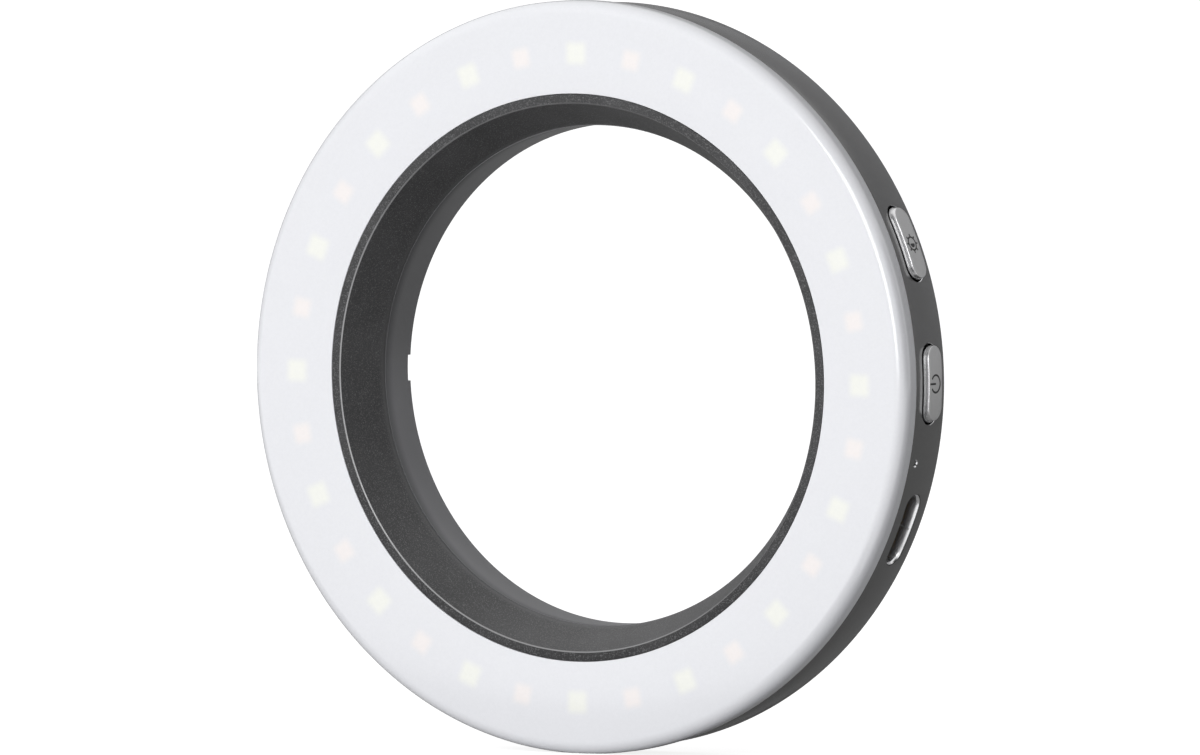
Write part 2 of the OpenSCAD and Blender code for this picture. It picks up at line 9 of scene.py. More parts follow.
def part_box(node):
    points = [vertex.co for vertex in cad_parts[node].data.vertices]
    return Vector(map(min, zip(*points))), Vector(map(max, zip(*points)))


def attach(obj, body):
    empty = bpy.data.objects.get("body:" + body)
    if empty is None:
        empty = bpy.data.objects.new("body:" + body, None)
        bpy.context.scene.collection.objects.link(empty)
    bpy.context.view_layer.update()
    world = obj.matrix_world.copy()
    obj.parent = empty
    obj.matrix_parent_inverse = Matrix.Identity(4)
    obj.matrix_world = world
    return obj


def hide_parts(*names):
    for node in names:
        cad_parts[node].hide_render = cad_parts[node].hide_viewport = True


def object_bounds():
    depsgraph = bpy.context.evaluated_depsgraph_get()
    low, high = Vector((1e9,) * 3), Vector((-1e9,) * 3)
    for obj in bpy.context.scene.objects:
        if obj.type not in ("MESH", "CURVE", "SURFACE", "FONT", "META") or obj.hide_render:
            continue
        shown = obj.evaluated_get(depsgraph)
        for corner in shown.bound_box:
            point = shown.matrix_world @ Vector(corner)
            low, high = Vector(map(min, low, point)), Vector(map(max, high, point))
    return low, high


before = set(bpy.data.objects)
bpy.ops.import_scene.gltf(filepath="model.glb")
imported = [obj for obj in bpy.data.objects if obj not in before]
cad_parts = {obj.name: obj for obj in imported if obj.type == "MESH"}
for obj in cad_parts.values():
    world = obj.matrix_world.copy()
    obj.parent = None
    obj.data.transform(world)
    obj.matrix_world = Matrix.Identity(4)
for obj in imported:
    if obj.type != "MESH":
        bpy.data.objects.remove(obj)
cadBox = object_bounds()
print("frame:", len(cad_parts), "nodes")

# Places are clock angles seen from the front, radii, and heights forward from the back face.
mm = 0.001
hair = 0.01 * mm  # what counts as the same place when sizes are read from the frame


# Camera: the direction of the photo and the pixel where the ring's front circle has its centre
cameraPlace = {
    "azimuth": 30.035,
    "elevation": 2.939,
    "roll": -0.142,
    "distance": 3.384,
    "sensor": 36.0,
    "frontHeight": 9.573 * mm,
    "frameWidth": 1200,
    "frameHeight": 755,
    "centrePixel": (578.60, 377.65),
    "pixelsPerMetre": 8650.0,
}


def addObject(name, data):
    obj = bpy.data.objects.new(name, data)
    bpy.context.scene.collection.objects.link(obj)
    return obj


def towards(azimuth, elevation):
    # direction from the object to a camera or lamp; azimuth 0 is straight in front
    a, e = math.radians(azimuth), math.radians(elevation)
    return Vector((math.sin(a) * math.cos(e), -math.cos(a) * math.cos(e), math.sin(e)))


def aimCamera(place):
    azimuth, roll = math.radians(place["azimuth"]), math.radians(place["roll"])
    scale = place["pixelsPerMetre"]
    back = towards(place["azimuth"], place["elevation"])
    right = Vector((math.cos(azimuth), math.sin(azimuth), 0))
    up = back.cross(right)
    right, up = (math.cos(roll) * right + math.sin(roll) * up,
                 math.cos(roll) * up - math.sin(roll) * right)
    ringCentre = Vector((0, -place["frontHeight"], 0))
    aim = (ringCentre + right * (place["frameWidth"] / 2 - place["centrePixel"][0]) / scale
           - up * (place["frameHeight"] / 2 - place["centrePixel"][1]) / scale)
    data = bpy.data.cameras.new("camera")
    data.sensor_fit = "HORIZONTAL"
    data.sensor_width = place["sensor"]
    data.lens = place["sensor"] * place["distance"] * scale / place["frameWidth"]
    camera = addObject("camera", data)
    turned = Matrix((right, up, back)).transposed().to_4x4()
    camera.matrix_world = Matrix.Translation(aim + back * place["distance"]) @ turned
    bpy.context.scene.camera = camera


aimCamera(cameraPlace)
print("camera set")


# Node helpers, for materials and for Geometry Nodes
def addNode(tree, kind, inputs=None, **settings):
    made = tree.nodes.new(kind)
    for key, value in settings.items():
        setattr(made, key, value)
    for key, value in (inputs or {}).items():
        if isinstance(value, bpy.types.NodeSocket):
            tree.links.new(value, made.inputs[key])
        else:
            made.inputs[key].default_value = value
    return made


def calc(tree, operation, *values):
    return addNode(tree, "ShaderNodeMath", dict(enumerate(values)), operation=operation).outputs[0]


def blendColours(tree, share, first, second, mode="MIX"):
    mix = addNode(tree, "ShaderNodeMix", {0: share, 6: first, 7: second},
                  data_type="RGBA", blend_type=mode)
    return mix.outputs[2]


def spread(tree, value, low, high, start=0.0, end=1.0, kind="LINEAR"):
    return addNode(tree, "ShaderNodeMapRange", {0: value, 1: low, 2: high, 3: start, 4: end},
                   interpolation_type=kind).outputs[0]


def srgb(red, green, blue):
    def linear(level):
        level /= 255
        return level / 12.92 if level <= 0.04045 else ((level + 0.055) / 1.055) ** 2.4
    return (linear(red), linear(green), linear(blue), 1.0)


# What a finish is like where its own look says nothing else
plainLook = {
    "metal": 0.0,
    "specular": 0.5,
    "variation": 0.08,
    "cloud": 6 * mm,
    "grain": 0.15 * mm,
    "glossSpread": 0.04,
    "bump": 0.2,
    "relief": 0.01 * mm,
}


def newFinish(name, values):
    made = bpy.data.materials.new(name)
    made.use_nodes = True
    shader = made.node_tree.nodes["Principled BSDF"]
    for key, value in values.items():
        shader.inputs[key].default_value = value
    return made, made.node_tree, shader


def noiseAt(tree, size, detail=2.0):
    # noise whose grains are about one size wide, fixed to the piece
    where = addNode(tree, "ShaderNodeTexCoord").outputs["Object"]
    return addNode(tree, "ShaderNodeTexNoise", {
        "Vector": where, "Scale": 1 / size, "Detail": detail}).outputs["Fac"]


# the part of the noise that is spread over a finish's own range
cloudRange, grainRange, glossRange = (0.3, 0.7), (0.25, 0.75), (0.2, 0.8)


def scaled(tree, colour, level):
    return addNode(tree, "ShaderNodeVectorMath", {0: colour, 1: level},
                   operation="MULTIPLY").outputs[0]


def roughen(tree, grain, height, look):
    # gloss that varies with the grain, and a fine bump
    shader = tree.nodes["Principled BSDF"]
    rough, change = look["rough"], look["glossSpread"]
    gloss = spread(tree, grain, *glossRange, rough - change, rough + change)
    tree.links.new(gloss, shader.inputs["Roughness"])
    bump = addNode(tree, "ShaderNodeBump", {
        "Strength": look["bump"], "Distance": look["relief"], "Height": height})
    tree.links.new(bump.outputs[0], shader.inputs["Normal"])


def ringPlace(tree):
    # a point's x and z, its radius from the ring's axis and its height from the back face
    where = addNode(tree, "ShaderNodeTexCoord").outputs["Object"]
    part = addNode(tree, "ShaderNodeSeparateXYZ", {0: where}).outputs
    flat = addNode(tree, "ShaderNodeCombineXYZ", {"X": part["X"], "Z": part["Z"]}).outputs[0]
    radius = addNode(tree, "ShaderNodeVectorMath", {0: flat}, operation="LENGTH").outputs["Value"]
    return part["X"], part["Z"], radius, calc(tree, "MULTIPLY", part["Y"], -1.0)


def grainyFinish(name, look):
    # one finish from its look: colour, metal, gloss, grain and bump
    look = {**plainLook, **look}
    made, tree, shader = newFinish(name, {
        "Metallic": look["metal"], "Specular IOR Level": look["specular"]})
    tint = look["variation"] / 2
    cloud, grain = noiseAt(tree, look["cloud"]), noiseAt(tree, look["grain"])
    level = calc(tree, "ADD", spread(tree, cloud, *cloudRange, 1 - tint, 1 + tint),
                 spread(tree, grain, *grainRange, -tint, tint))
    colour = scaled(tree, look["colour"][:3], level)
    if "specks" in look:
        speck = spread(tree, noiseAt(tree, look["speckSize"]), *look["speckFrom"])
        colour = blendColours(tree, speck, colour, look["specks"])
    tree.links.new(colour, shader.inputs["Base Color"])
    roughen(tree, grain, noiseAt(tree, look.get("bumpSize", look["grain"])), look)
    return made


def blendOver(made, share, colour, mode="MIX"):
    # blends another colour over the finish, by its share at each point
    tree = made.node_tree
    base = tree.nodes["Principled BSDF"].inputs["Base Color"]
    tree.links.new(blendColours(tree, share, base.links[0].from_socket, colour, mode), base)


def addBareMetal(made, mask, look):
    # where the mask is 1 the finish is worn or machined down to bright metal
    tree = made.node_tree
    given = tree.nodes["Principled BSDF"].inputs
    blendOver(made, mask, look["bareColour"])
    rough, metal = given["Roughness"], given["Metallic"]
    tree.links.new(spread(tree, mask, 0.0, 1.0, rough.links[0].from_socket, look["bareRough"]),
                   rough)
    tree.links.new(spread(tree, mask, 0.0, 1.0, metal.default_value, 1.0), metal)


def tintAlong(made, low, high, start, end, colour, mode="MIX"):
    # blends another colour in between two heights
    tree = made.node_tree
    _, _, _, height = ringPlace(tree)
    blendOver(made, spread(tree, height, low, high, start, end, "SMOOTHSTEP"), colour, mode)


def markedEdges(tree):
    return addNode(tree, "ShaderNodeAttribute", attribute_name="bareEdge").outputs["Fac"]


# Geometry Nodes helpers
def newTree(name, sockets):
    tree = bpy.data.node_groups.new(name, "GeometryNodeTree")
    face = tree.interface
    face.new_socket("Geometry", in_out="INPUT", socket_type="NodeSocketGeometry")
    for label, kind in sockets:
        face.new_socket(label, in_out="INPUT", socket_type="NodeSocket" + kind)
    face.new_socket("Geometry", in_out="OUTPUT", socket_type="NodeSocketGeometry")
    return tree, addNode(tree, "NodeGroupInput").outputs


def closeTree(tree, geometry, finish):
    real = addNode(tree, "GeometryNodeRealizeInstances", {0: geometry}).outputs[0]
    painted = addNode(tree, "GeometryNodeSetMaterial", {"Geometry": real, "Material": finish})
    addNode(tree, "NodeGroupOutput", {0: painted.outputs[0]})


def settle(obj):
    # the evaluated shape becomes the object's own plain mesh
    graph = bpy.context.evaluated_depsgraph_get()
    mesh = bpy.data.meshes.new_from_object(obj.evaluated_get(graph))
    obj.modifiers.clear()
    old, obj.data = obj.data, mesh
    bpy.data.meshes.remove(old)
    mesh.name = obj.name


def paint(obj, finish):
    obj.data.materials.clear()
    obj.data.materials.append(finish)
    obj.data.polygons.foreach_set("material_index", [0] * len(obj.data.polygons))


def growFrom(obj, tree, values):
    modifier = obj.modifiers.new(tree.name, "NODES")
    modifier.node_group = tree
    for item in tree.interface.items_tree:
        if item.item_type == "SOCKET" and item.in_out == "INPUT" and item.name in values:
            modifier[item.identifier] = values[item.name]
    settle(obj)
    paint(obj, values["Finish"])


# Mesh helpers
def newObject(name, points, faces=(), edges=()):
    mesh = bpy.data.meshes.new(name)
    mesh.from_pydata([tuple(p) for p in points], list(edges), list(faces))
    return addObject(name, mesh)


def closeUp(obj, sharpFrom=28, merge=0.0005 * mm):
    # merges doubles, turns faces outwards and shades all but the corners smooth
    work = bmesh.new()
    work.from_mesh(obj.data)
    bmesh.ops.remove_doubles(work, verts=work.verts, dist=merge)
    bmesh.ops.recalc_face_normals(work, faces=work.faces)
    work.to_mesh(obj.data)
    work.free()
    obj.data.shade_smooth()
    obj.data.set_sharp_from_angle(angle=math.radians(sharpFrom))


def combine(obj, other, operation):
    # boolean of two closed shapes, after which the other one is gone
    modifier = obj.modifiers.new(operation, "BOOLEAN")
    modifier.operation, modifier.solver, modifier.object = operation, "EXACT", other
    settle(obj)
    bpy.data.objects.remove(other)


def joinAll(objects):
    work = bmesh.new()
    for piece in objects:
        work.from_mesh(piece.data)
    first = objects[0]
    work.to_mesh(first.data)
    work.free()
    for piece in objects[1:]:
        bpy.data.objects.remove(piece)
    return first


def at(clock, across, outward, height):
    # a place in the frame of a clock angle: across is clockwise, outward is radial
    a = math.radians(clock)
    return Vector((outward * math.sin(a) + across * math.cos(a), -height,
                   outward * math.cos(a) - across * math.sin(a)))


def softened(corners, steps=5):
    # closed outline with each corner (x, y, radius) rounded
    outline = []
    for i, (x, y, radius) in enumerate(corners):
        here = Vector((x, y))
        if not radius:
            outline.append(here)
            continue
        before = (Vector(corners[i - 1][:2]) - here).normalized()
        after = (Vector(corners[(i + 1) % len(corners)][:2]) - here).normalized()
        half = before.angle(after) / 2
        centre = here + (before + after).normalized() * radius / math.sin(half)
        start = here + before * radius / math.tan(half) - centre
        end = here + after * radius / math.tan(half) - centre
        first = math.atan2(start.y, start.x)
        sweep = (math.atan2(end.y, end.x) - first + math.pi) % (2 * math.pi) - math.pi
        for step in range(steps + 1):
            a = first + sweep * step / steps
            outline.append(centre + radius * Vector((math.cos(a), math.sin(a))))
    return outline


def makeTurnedTree():
    # turns a closed outline, whose points are (radius, height, 0), round the ring's axis
    tree, given = newTree("turnedRing", [("Segments", "Int"), ("Finish", "Material")])
    outline, segments = given["Geometry"], given["Segments"]
    count = addNode(tree, "GeometryNodeAttributeDomainSize", {0: outline}).outputs[0]
    row = calc(tree, "ADD", count, 1.0)
    grid = addNode(tree, "GeometryNodeMeshGrid", {
        "Vertices X": calc(tree, "ADD", segments, 1.0), "Vertices Y": row}).outputs[0]
    index = addNode(tree, "GeometryNodeInputIndex").outputs[0]
    place = calc(tree, "MODULO", calc(tree, "MODULO", index, row), count)
    turn = calc(tree, "FLOOR", calc(tree, "DIVIDE", calc(tree, "ADD", index, 0.5), row))
    angle = calc(tree, "MULTIPLY", calc(tree, "DIVIDE", turn, segments), 2 * math.pi)
    position = addNode(tree, "GeometryNodeInputPosition").outputs[0]
    sample = addNode(tree, "GeometryNodeSampleIndex", {
        "Geometry": outline, "Value": position, "Index": place},
        data_type="FLOAT_VECTOR", domain="POINT")
    part = addNode(tree, "ShaderNodeSeparateXYZ", {0: sample.outputs[0]}).outputs
    spot = addNode(tree, "ShaderNodeCombineXYZ", {
        "X": calc(tree, "MULTIPLY", part["X"], calc(tree, "SINE", angle)),
        "Y": calc(tree, "MULTIPLY", part["Y"], -1.0),
        "Z": calc(tree, "MULTIPLY", part["X"], calc(tree, "COSINE", angle))}).outputs[0]
    turned = addNode(tree, "GeometryNodeSetPosition", {"Geometry": grid, "Position": spot})
    closed = addNode(tree, "GeometryNodeMergeByDistance", {
        "Geometry": turned.outputs[0], "Distance": 0.001 * mm})
    closeTree(tree, closed.outputs[0], given["Finish"])
    return tree


def makeRepeatTree(name, axis):
    # repeats a piece, drawn at angle 0, round an axis
    tree, given = newTree(name, [
        ("Count", "Int"), ("First Angle", "Float"), ("Finish", "Material")])
    points = addNode(tree, "GeometryNodeMeshLine", {
        "Count": given["Count"], "Offset": (0, 0, 0)}, mode="OFFSET").outputs[0]
    index = addNode(tree, "GeometryNodeInputIndex").outputs[0]
    step = calc(tree, "DIVIDE", 2 * math.pi, given["Count"])
    angle = calc(tree, "ADD", given["First Angle"], calc(tree, "MULTIPLY", index, step))
    turn = addNode(tree, "ShaderNodeCombineXYZ", {axis: angle}).outputs[0]
    copies = addNode(tree, "GeometryNodeInstanceOnPoints", {
        "Points": points, "Instance": given["Geometry"], "Rotation": turn}).outputs[0]
    closeTree(tree, copies, given["Finish"])
    return tree


turnedTree = makeTurnedTree()
circleTree = makeRepeatTree("roundTheRing", "Y")
rayTree = makeRepeatTree("roundTheMark", "Z")
ringSegments = 480
# the circle of screws starts on the line along which the buttons are pressed
screwCount, pressClock = 6, 79.0


def roundTheRing(obj, finish, count=screwCount):
    growFrom(obj, circleTree, {"Count": count, "First Angle": math.radians(pressClock),
                               "Finish": finish})
    closeUp(obj)


def turnedRing(name, corners, finish, steps=5):
    outline = softened(corners, steps)
    count = len(outline)
    obj = newObject(name, [(p.x, p.y, 0) for p in outline],
                    edges=[(i, (i + 1) % count) for i in range(count)])
    growFrom(obj, turnedTree, {"Segments": ringSegments, "Finish": finish})
    closeUp(obj)
    return obj


endSteps, sideSteps = 18, 8  # steps round each half circle and along each straight side


def stadiumLoop(length, width):
    # outline with two round ends, as (across, height); its straight sides have points too, so
    # that a long face follows the ring's curve
    reach, radius = (length - width) / 2, width / 2
    loop = []
    for side in (1, -1):
        for step in range(endSteps + 1):
            a = side * math.pi / 2 - math.pi * step / endSteps
            loop.append((side * reach + radius * math.cos(a), radius * math.sin(a)))
        if reach > hair:
            loop += [(side * reach * (1 - 2 * step / sideSteps), -side * radius)
                     for step in range(1, sideSteps)]
    return loop


def lofted(name, clock, centre, height, rings, marks=None, tube=False):
    # closed shape from stadium rings, each (length, width, outward); outward is a distance from
    # the axis plane, or ("round", radius) for a ring that lies on a cylinder round the axis
    points, faces, flags = [], [], []
    loops = [stadiumLoop(length, width) for length, width, _ in rings]
    count = len(loops[0])
    for (_, _, outward), loop in zip(rings, loops):
        for across, up in loop:
            far = outward
            if isinstance(outward, tuple):
                far = math.sqrt(outward[1] ** 2 - (centre + across) ** 2)
            points.append(at(clock, centre + across, far, height + up))
    for k in range(len(rings) - (0 if tube else 1)):
        this, other = k * count, (k + 1) % len(rings) * count
        for i in range(count):
            j = (i + 1) % count
            faces.append((this + i, this + j, other + j, other + i))
            flags.append(1 if marks and k in marks else 0)
    tip = endSteps // 2
    for first in () if tube else (0, (len(rings) - 1) * count):
        # each end is closed by strips across it, so that it follows the ring's curve too
        for i in range(tip, tip + count // 2):
            strip = [i, i + 1, (endSteps - i - 1) % count, (endSteps - i) % count]
            faces.append(tuple(first + k for k in dict.fromkeys(strip)))
            flags.append(0)
    obj = newObject(name, points, faces)
    if marks:
        bare = obj.data.attributes.new("bareEdge", "FLOAT", "FACE")
        bare.data.foreach_set("value", [float(flag) for flag in flags])
    closeUp(obj)
    return obj


def pointsOf(node):
    return np.array([vertex.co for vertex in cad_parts[node].data.vertices]).T


def measure(node, radiusFrom=0.0, radiusTo=1.0, heightFrom=-1.0, heightTo=1.0):
    # smallest and largest radius, lowest and highest height of a node's points in that range
    x, y, z = pointsOf(node)
    radius, height = np.hypot(x, z), -y
    kept = ((radius > radiusFrom) & (radius < radiusTo)
            & (height > heightFrom) & (height < heightTo))
    radius, height = radius[kept], height[kept]
    return radius.min(), radius.max(), height.min(), height.max()


def spanAt(node, clock):
    # lowest and highest (across, outward, height) of a node in the frame of a clock angle
    a = math.radians(clock)
    x, y, z = pointsOf(node)
    placed = np.stack([x * math.cos(a) - z * math.sin(a), x * math.sin(a) + z * math.cos(a), -y])
    return placed.min(axis=1), placed.max(axis=1)


def dress(obj, finish, slot, *nodes, body="ring"):
    # a finished piece: its shading and material, the CAD nodes it replaces, and its body; slot is
    # not used
    closeUp(obj)
    paint(obj, finish)
    if nodes:
        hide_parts(*nodes)
    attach(obj, body)


# Diffuser: opal ring with a rounded rim, through which the LEDs show faintly
diffuserLook = {
    "face": srgb(235, 236, 240),
    "coolMark": srgb(246, 247, 241),
    "warmMark": srgb(247, 242, 241),
    "markCount": 32,
    "coolMarkHalf": 1.2 * mm,
    "warmMarkHalf": 1.05 * mm,
    "markBlur": 0.6 * mm,
    "specular": 0.25,
    "coat": 0.95,
    "coatIndex": 1.7,
    "coatRough": 0.14,
    "rough": 0.3,
    "glossSpread": 0.03,
    "grain": 0.32 * mm,
    "grainTint": 0.012,
    "cloud": 8 * mm,
    "cloudTint": 0.004,
    "bump": 0.25,
    "relief": 0.01 * mm,
    "rimRound": 1.5 * mm,
    "edgeRound": 0.08 * mm,
}


def makeOpalFinish(look, markRadius):
    made, tree, shader = newFinish("opalPlastic", {
        "Specular IOR Level": look["specular"], "Coat Weight": look["coat"],
        "Coat IOR": look["coatIndex"], "Coat Roughness": look["coatRough"]})
    x, z, radius, _ = ringPlace(tree)
    clock = calc(tree, "ARCTAN2", x, z)
    step = 2 * math.pi / look["markCount"]
    place = calc(tree, "ROUND", calc(tree, "DIVIDE", clock, step))
    turn = calc(tree, "SUBTRACT", clock, calc(tree, "MULTIPLY", place, step))
    across = calc(tree, "MULTIPLY", radius, calc(tree, "SINE", turn))
    along = calc(tree, "SUBTRACT", calc(tree, "MULTIPLY", radius, calc(tree, "COSINE", turn)),
                 markRadius)
    warm = calc(tree, "PINGPONG", place, 1.0)
    half = spread(tree, warm, 0.0, 1.0, look["coolMarkHalf"], look["warmMarkHalf"])
    fades = []
    for side in (across, along):
        outside = calc(tree, "SUBTRACT", calc(tree, "ABSOLUTE", side), half)
        fades.append(spread(tree, outside, -look["markBlur"], look["markBlur"], 1.0, 0.0,
                            "SMOOTHSTEP"))
    tint = blendColours(tree, warm, look["coolMark"], look["warmMark"])
    colour = blendColours(tree, calc(tree, "MULTIPLY", *fades), look["face"], tint)
    grain, cloud = noiseAt(tree, look["grain"], 3.0), noiseAt(tree, look["cloud"])
    fine, wide = look["grainTint"], look["cloudTint"]
    level = calc(tree, "ADD", spread(tree, grain, *cloudRange, -fine, fine),
                 spread(tree, cloud, *cloudRange, 1 - wide, 1 + wide))
    tree.links.new(scaled(tree, colour, level), shader.inputs["Base Color"])
    roughen(tree, grain, grain, look)
    return made


coneFrontRadius, lipOuter, _, frontHeight = measure(
    "inner_bezel", heightFrom=cameraPlace["frontHeight"])
diffuserInner, _, _, diffuserFront = measure("diffuser", heightFrom=frontHeight - hair)
_, rimRadius, rimRear, _ = measure("diffuser", radiusFrom=measure("diffuser")[1] - hair)
spigotInner, spigotOuter, spigotRear, _ = measure("diffuser", heightTo=rimRear - hair)
plateRear = measure("diffuser", radiusTo=diffuserInner + hair)[2]
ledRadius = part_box("cool_leds")[1].z - diffuserLook["coolMarkHalf"]
opal = makeOpalFinish(diffuserLook, ledRadius)
edge = diffuserLook["edgeRound"]
diffuser = turnedRing("diffuserRing", [
    (diffuserInner, plateRear, edge), (spigotInner, plateRear, 0), (spigotInner, spigotRear, edge),
    (spigotOuter, spigotRear, edge), (spigotOuter, rimRear, 0), (rimRadius, rimRear, edge),
    (rimRadius, diffuserFront, diffuserLook["rimRound"] - hair),
    (diffuserInner, diffuserFront, edge),
], opal, steps=10)
dress(diffuser, opal, "diffuser_white", "diffuser")
print("diffuser made")


# Inner bezel: speckled dark cone with its flat lip and a fine bright chamfer
bezelLook = {
    "colour": srgb(60, 60, 61),
    "specular": 0.6,
    # painted shade: grey taken off the lip, standing in for the sheen that the cone has and the
    # lip lacks
    "lipPaintedShade": srgb(44, 44, 44),
    "specks": srgb(105, 105, 106),
    "speckSize": 0.13 * mm,
    "speckFrom": (0.54, 0.68),
    "variation": 0.35,
    "grain": 0.2 * mm,
    "rough": 0.45,
    "bump": 0.5,
    "relief": 0.02 * mm,
    "bareColour": srgb(150, 150, 151),
    "bareRough": 0.32,
    "chamfer": 0.09 * mm,
    "cornerRound": 0.05 * mm,
    "blendRound": 1.6 * mm,
    "blendHeight": 0.4 * mm,
    # painted light: the cone is painted this paler grey towards its rear, where it meets the
    # collar
    "coneRearPaintedLight": srgb(84, 84, 85),
    "coneRearPaintedLightDepth": 1.1 * mm,
}
coneRearRadius, shelfRadius, sleeveRear, _ = measure("inner_bezel")
_, _, coneRear, _ = measure("inner_bezel", radiusTo=coneRearRadius + hair)
_, _, shelfRear, shelfFront = measure("inner_bezel", radiusFrom=shelfRadius - hair)
sleeveInner, sleeveOuter, _, _ = measure("inner_bezel", heightTo=sleeveRear + hair)
speckled = grainyFinish("speckledPaint", bezelLook)
slant = bezelLook["chamfer"]


def chamferMask(tree):
    # 1 on the fine chamfer between the cone and the lip, with 2% to spare
    _, _, radius, height = ringPlace(tree)
    front = calc(tree, "GREATER_THAN", height, frontHeight - 1.02 * slant)
    return calc(tree, "MULTIPLY", front, calc(tree, "LESS_THAN", radius, coneFrontRadius + hair))


# painted shade and light: the lip is painted darker than the cone, standing in for the cone's
# sheen, and the cone is painted palest where it meets the collar, where it looks lit
tintAlong(speckled, frontHeight - 2 * hair, frontHeight - hair, 0.0, 1.0, bezelLook["lipPaintedShade"],
          "SUBTRACT")
addBareMetal(speckled, chamferMask(speckled.node_tree), bezelLook)
# painted light: paler towards the cone's rear edge
tintAlong(speckled, coneRear, coneRear + bezelLook["coneRearPaintedLightDepth"], 1.0, 0.0, bezelLook["coneRearPaintedLight"])
corner = bezelLook["cornerRound"]
coneSlope = (coneFrontRadius - coneRearRadius) / (frontHeight - coneRear)
bezel = turnedRing("innerBezel", [
    (coneRearRadius, coneRear, corner),
    (coneRearRadius, coneRear + bezelLook["blendHeight"], bezelLook["blendRound"]),
    (coneFrontRadius - slant * (1 + coneSlope), frontHeight - slant, 0),
    (coneFrontRadius, frontHeight, 0),
    (lipOuter, frontHeight, corner), (lipOuter, shelfFront, 0),
    (shelfRadius, shelfFront, corner), (shelfRadius, shelfRear, corner),
    (sleeveOuter, shelfRear, 0), (sleeveOuter, sleeveRear, corner),
    (sleeveInner, sleeveRear, corner), (sleeveInner, coneRear, 0),
], speckled)
dress(bezel, speckled, "speckled_black", "inner_bezel")
print("bezel made")


# Mount collar: satin cylinder that goes over the lens, with a notch in its rear edge
collarLook = {
    "colour": srgb(142, 142, 144),
    "metal": 0.9,
    "rough": 0.36,
    "variation": 0.06,
    "grain": 0.12 * mm,
    "bump": 0.15,
    "relief": 0.006 * mm,
    "cornerRound": 0.12 * mm,
    "notchClock": 270.0,
    "notchWidth": 3.0 * mm,
    # painted shade: the collar's colour towards its front, where it meets the cone
    "shadedColour": srgb(113, 113, 115),
    "shadedDepth": 2.0 * mm,
}
boreRadius, flangeRadius, collarRear, collarFront = measure("mount_collar")
collarRadius = measure("mount_collar", heightTo=-hair)[1]
_, _, flangeRear, flangeFront = measure("mount_collar", radiusFrom=collarRadius + hair)
notchFloor = measure("mount_collar", heightFrom=collarRear + hair, heightTo=-hair)[2]
satin = grainyFinish("satinCollar", collarLook)
# painted shade: the collar is painted darker towards its front, where it meets the cone
tintAlong(satin, coneRear - collarLook["shadedDepth"], coneRear, 0.0, 1.0,
          collarLook["shadedColour"])
corner = collarLook["cornerRound"]
collar = turnedRing("mountCollar", [
    (boreRadius, collarRear, corner), (collarRadius, collarRear, corner),
    (collarRadius, flangeRear, 0), (flangeRadius, flangeRear, corner),
    (flangeRadius, flangeFront, corner), (collarRadius, flangeFront, 0),
    (collarRadius, collarFront, corner), (boreRadius, collarFront, hair),
][::-1], satin)


def boxAt(name, clock, acrossFrom, acrossTo, outwardFrom, outwardTo, heightFrom, heightTo):
    points = [at(clock, a, o, h) for a in (acrossFrom, acrossTo) for o in (outwardFrom, outwardTo)
              for h in (heightFrom, heightTo)]
    faces = [(0, 1, 3, 2), (4, 6, 7, 5), (0, 4, 5, 1), (2, 3, 7, 6), (0, 2, 6, 4), (1, 5, 7, 3)]
    box = newObject(name, points, faces)
    closeUp(box)
    return box


half = collarLook["notchWidth"] / 2
notch = boxAt("notch", collarLook["notchClock"], -half, half, boreRadius / 2, collarRadius * 1.1,
              collarRear * 2, notchFloor)
combine(collar, notch, "DIFFERENCE")
dress(collar, satin, "collar_grey", "mount_collar")
print("collar made")


# Housing: turned side wall with bosses, button pockets, port opening and indicator hole
housingLook = {
    "colour": srgb(134, 134, 134),
    "metal": 0.92,
    "rough": 0.2,
    "variation": 0.05,
    "grain": 0.1 * mm,
    "cloud": 9 * mm,
    "bareColour": srgb(225, 225, 227),
    "bareRough": 0.2,
    "bump": 0.12,
    "relief": 0.006 * mm,
    "rearChamfer": 0.12 * mm,
    "frontRound": 0.03 * mm,
    "buttonPitch": 16.4 * mm,
    "buttonLength": 8.65 * mm,
    "buttonGap": 0.3 * mm,
    "pocketFloor": 39.05 * mm,
    "pocketChamfer": 0.05 * mm,
    "portClock": 113.2,
    "portLength": 8.94 * mm,
    "portWidth": 3.16 * mm,
    "portGap": 0.05 * mm,
    "indicatorClock": 102.2,
    "indicatorWidth": 0.69 * mm,
    "pipeWidth": 0.85 * mm,
    "indicatorChamfer": 0.13 * mm,
    "bossRadius": 39.0 * mm,
    "bossWidth": 2.8 * mm,
    "bossSunk": 0.55 * mm,
    "bossTop": 5.6 * mm,
    "screwHole": 1.7 * mm,
    "threadEnd": 4.7 * mm,
    "landRadius": 39.6 * mm,
    "landSunk": 0.5 * mm,
    "landTop": 5.3 * mm,
    "ledge": (40.6 * mm, 4.9 * mm, 5.7 * mm),  # inner radius, rear and front
}
_, bodyRadius, bodyRear, bodyFront = measure("housing")
wallInner = measure("housing", heightTo=hair)[0]
buttonLow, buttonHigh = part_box("power_button")
buttonHeight = -(buttonLow.y + buttonHigh.y) / 2
buttonWidth = buttonHigh.y - buttonLow.y
faceRadius = measure("power_button")[1]
coverFront = measure("back_cover")[3]
portHeight = -(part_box("port_tongue")[0].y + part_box("port_tongue")[1].y) / 2
portClock, portLength, portWidth = (
    housingLook[key] for key in ("portClock", "portLength", "portWidth"))
indicatorClock = housingLook["indicatorClock"]
pipeLow, pipeHigh = spanAt("light_pipe", indicatorClock)
indicatorHeight = pipeHigh[2] - housingLook["pipeWidth"] / 2
bossRadius, holeRadius = housingLook["bossRadius"], housingLook["screwHole"] / 2
buttonLength = housingLook["buttonLength"]
buttonCentres = [side * housingLook["buttonPitch"] / 2 for side in (-1, 1)]
gunmetal = grainyFinish("gunmetalCoat", housingLook)
addBareMetal(gunmetal, markedEdges(gunmetal.node_tree), housingLook)
ledgeInner, ledgeRear, ledgeFront = housingLook["ledge"]
